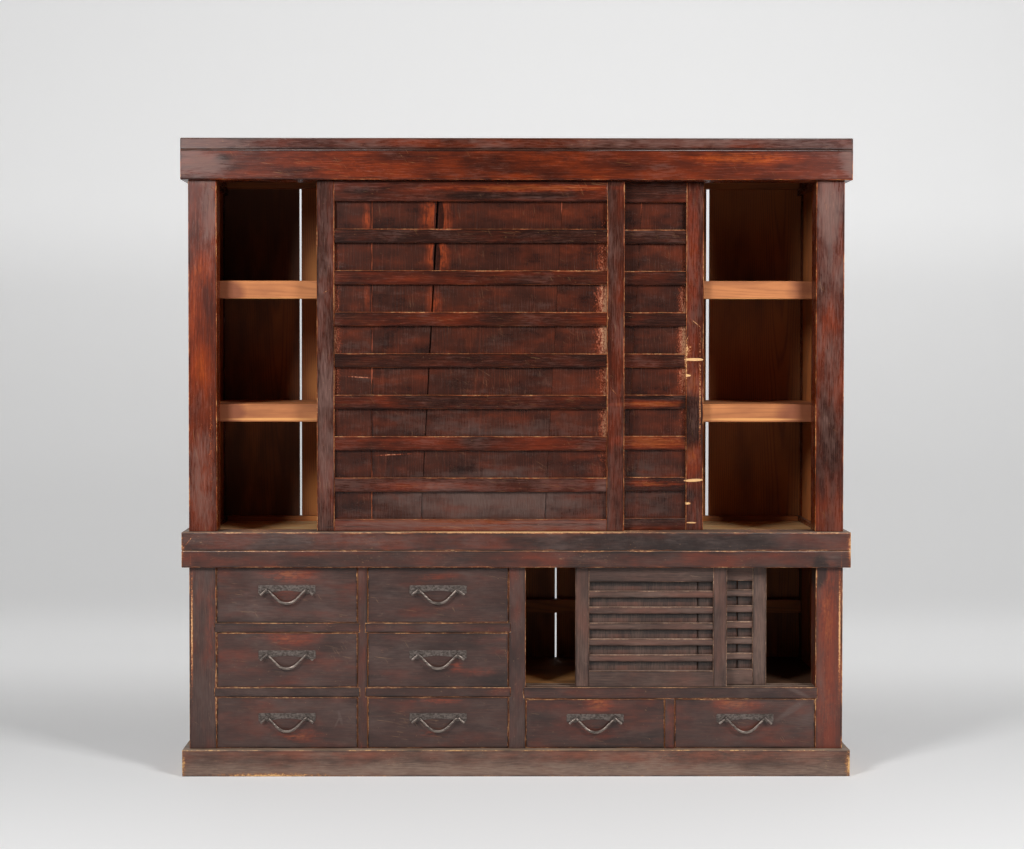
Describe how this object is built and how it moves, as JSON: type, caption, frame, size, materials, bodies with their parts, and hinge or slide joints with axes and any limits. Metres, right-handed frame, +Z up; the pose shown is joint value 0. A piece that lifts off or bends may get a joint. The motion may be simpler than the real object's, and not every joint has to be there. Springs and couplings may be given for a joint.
{
  "type": "mizuya kitchen cabinet",
  "caption": "Stacked kitchen cabinet: battened sliding doors over open shelves, a lower case with drawers on iron bails and a cupboard with slatted sliding doors.",
  "frame": {"origin": "on the floor, under the middle of the cabinet", "axes": "+X to the right along the front, +Y towards the back, +Z up; the doors and drawers face -Y"},
  "size_m": [1.75, 0.452, 1.669],
  "materials": {
    "case_frame_wood": "wiped lacquer, satin, worn pale at the edges",
    "case_board_wood": "wiped lacquer over softwood grain, satin",
    "door_frame_wood": "wiped lacquer, satin, worn at the edges",
    "door_board_wood": "wiped lacquer over softwood grain, satin",
    "slatted_door_wood": "dry weathered wood, matt",
    "drawer_front_wood": "wiped lacquer, dusty satin",
    "bare_wood": "unfinished planed softwood, aged, matt",
    "wrought_iron": "hand forged, dark, rubbed bright on the high parts"
  },
  "bodies": {
    "cabinet": {"drawer_guides": "bare_wood", "lower_back_boards": "bare_wood", "lower_base_rail": "case_frame_wood", "lower_frame_rails": "case_frame_wood", "lower_inner_boards": "bare_wood", "lower_partitions": "bare_wood", "lower_posts": "case_frame_wood", "lower_rails": "case_frame_wood", "lower_side_panels": "case_board_wood", "lower_top_rail": "case_frame_wood", "top_board": "case_frame_wood", "upper_back_boards": "bare_wood", "upper_floor_boards": "bare_wood", "upper_frame_rails": "case_frame_wood", "upper_header_rail": "case_frame_wood", "upper_posts": "case_frame_wood", "upper_shelf_cleats": "bare_wood", "upper_shelves": "bare_wood", "upper_side_panels": "case_board_wood", "upper_sill_rail": "case_frame_wood"},
    "upper_left_door": {"upper_left_door_boards": "door_board_wood", "upper_left_door_frame": "door_frame_wood"},
    "upper_right_door": {"upper_right_door_boards": "door_board_wood", "upper_right_door_frame": "door_frame_wood"},
    "lower_left_door": {"lower_left_door_boards": "slatted_door_wood", "lower_left_door_frame": "slatted_door_wood"},
    "lower_right_door": {"lower_right_door_boards": "slatted_door_wood", "lower_right_door_frame": "slatted_door_wood"},
    "drawer_1": {"drawer_1_box": "bare_wood", "drawer_1_front": "drawer_front_wood", "drawer_1_handle_plate": "wrought_iron"},
    "drawer_1_handle": {"drawer_1_bail": "wrought_iron"},
    "drawer_2": {"drawer_2_box": "bare_wood", "drawer_2_front": "drawer_front_wood", "drawer_2_handle_plate": "wrought_iron"},
    "drawer_2_handle": {"drawer_2_bail": "wrought_iron"},
    "drawer_3": {"drawer_3_box": "bare_wood", "drawer_3_front": "drawer_front_wood", "drawer_3_handle_plate": "wrought_iron"},
    "drawer_3_handle": {"drawer_3_bail": "wrought_iron"},
    "drawer_4": {"drawer_4_box": "bare_wood", "drawer_4_front": "drawer_front_wood", "drawer_4_handle_plate": "wrought_iron"},
    "drawer_4_handle": {"drawer_4_bail": "wrought_iron"},
    "drawer_5": {"drawer_5_box": "bare_wood", "drawer_5_front": "drawer_front_wood", "drawer_5_handle_plate": "wrought_iron"},
    "drawer_5_handle": {"drawer_5_bail": "wrought_iron"},
    "drawer_6": {"drawer_6_box": "bare_wood", "drawer_6_front": "drawer_front_wood", "drawer_6_handle_plate": "wrought_iron"},
    "drawer_6_handle": {"drawer_6_bail": "wrought_iron"},
    "drawer_7": {"drawer_7_box": "bare_wood", "drawer_7_front": "drawer_front_wood", "drawer_7_handle_plate": "wrought_iron"},
    "drawer_7_handle": {"drawer_7_bail": "wrought_iron"},
    "drawer_8": {"drawer_8_box": "bare_wood", "drawer_8_front": "drawer_front_wood", "drawer_8_handle_plate": "wrought_iron"},
    "drawer_8_handle": {"drawer_8_bail": "wrought_iron"}
  },
  "joints": [
    {"name": "upper_left_door_slide", "type": "slide", "parent": "cabinet", "child": "upper_left_door", "axis": [1, 0, 0], "range_m": [-0.26, 0.5]},
    {"name": "upper_right_door_slide", "type": "slide", "parent": "cabinet", "child": "upper_right_door", "axis": [1, 0, 0], "range_m": [-0.471, 0.289]},
    {"name": "lower_left_door_slide", "type": "slide", "parent": "cabinet", "child": "lower_left_door", "axis": [1, 0, 0], "range_m": [-0.13, 0.232]},
    {"name": "lower_right_door_slide", "type": "slide", "parent": "cabinet", "child": "lower_right_door", "axis": [1, 0, 0], "range_m": [-0.238, 0.124]},
    {"name": "drawer_1_slide", "type": "slide", "parent": "cabinet", "child": "drawer_1", "axis": [0, -1, 0], "range_m": [0, 0.32]},
    {"name": "drawer_1_bail_hinge", "type": "hinge", "parent": "drawer_1", "child": "drawer_1_handle", "pos_m": [-0.60175, -0.2186, 0.48925], "axis": [-1, 0, 0], "range_deg": [0, 165]},
    {"name": "drawer_2_slide", "type": "slide", "parent": "cabinet", "child": "drawer_2", "axis": [0, -1, 0], "range_m": [0, 0.32]},
    {"name": "drawer_2_bail_hinge", "type": "hinge", "parent": "drawer_2", "child": "drawer_2_handle", "pos_m": [-0.60175, -0.2186, 0.318], "axis": [-1, 0, 0], "range_deg": [0, 165]},
    {"name": "drawer_3_slide", "type": "slide", "parent": "cabinet", "child": "drawer_3", "axis": [0, -1, 0], "range_m": [0, 0.32]},
    {"name": "drawer_3_bail_hinge", "type": "hinge", "parent": "drawer_3", "child": "drawer_3_handle", "pos_m": [-0.60175, -0.2186, 0.1525], "axis": [-1, 0, 0], "range_deg": [0, 165]},
    {"name": "drawer_4_slide", "type": "slide", "parent": "cabinet", "child": "drawer_4", "axis": [0, -1, 0], "range_m": [0, 0.32]},
    {"name": "drawer_4_bail_hinge", "type": "hinge", "parent": "drawer_4", "child": "drawer_4_handle", "pos_m": [-0.20525, -0.2186, 0.48925], "axis": [-1, 0, 0], "range_deg": [0, 165]},
    {"name": "drawer_5_slide", "type": "slide", "parent": "cabinet", "child": "drawer_5", "axis": [0, -1, 0], "range_m": [0, 0.32]},
    {"name": "drawer_5_bail_hinge", "type": "hinge", "parent": "drawer_5", "child": "drawer_5_handle", "pos_m": [-0.20525, -0.2186, 0.318], "axis": [-1, 0, 0], "range_deg": [0, 165]},
    {"name": "drawer_6_slide", "type": "slide", "parent": "cabinet", "child": "drawer_6", "axis": [0, -1, 0], "range_m": [0, 0.32]},
    {"name": "drawer_6_bail_hinge", "type": "hinge", "parent": "drawer_6", "child": "drawer_6_handle", "pos_m": [-0.20525, -0.2186, 0.1525], "axis": [-1, 0, 0], "range_deg": [0, 165]},
    {"name": "drawer_7_slide", "type": "slide", "parent": "cabinet", "child": "drawer_7", "axis": [0, -1, 0], "range_m": [0, 0.32]},
    {"name": "drawer_7_bail_hinge", "type": "hinge", "parent": "drawer_7", "child": "drawer_7_handle", "pos_m": [0.208, -0.2186, 0.15], "axis": [-1, 0, 0], "range_deg": [0, 165]},
    {"name": "drawer_8_slide", "type": "slide", "parent": "cabinet", "child": "drawer_8", "axis": [0, -1, 0], "range_m": [0, 0.32]},
    {"name": "drawer_8_bail_hinge", "type": "hinge", "parent": "drawer_8", "child": "drawer_8_handle", "pos_m": [0.602, -0.2186, 0.15], "axis": [-1, 0, 0], "range_deg": [0, 165]}
  ]
}
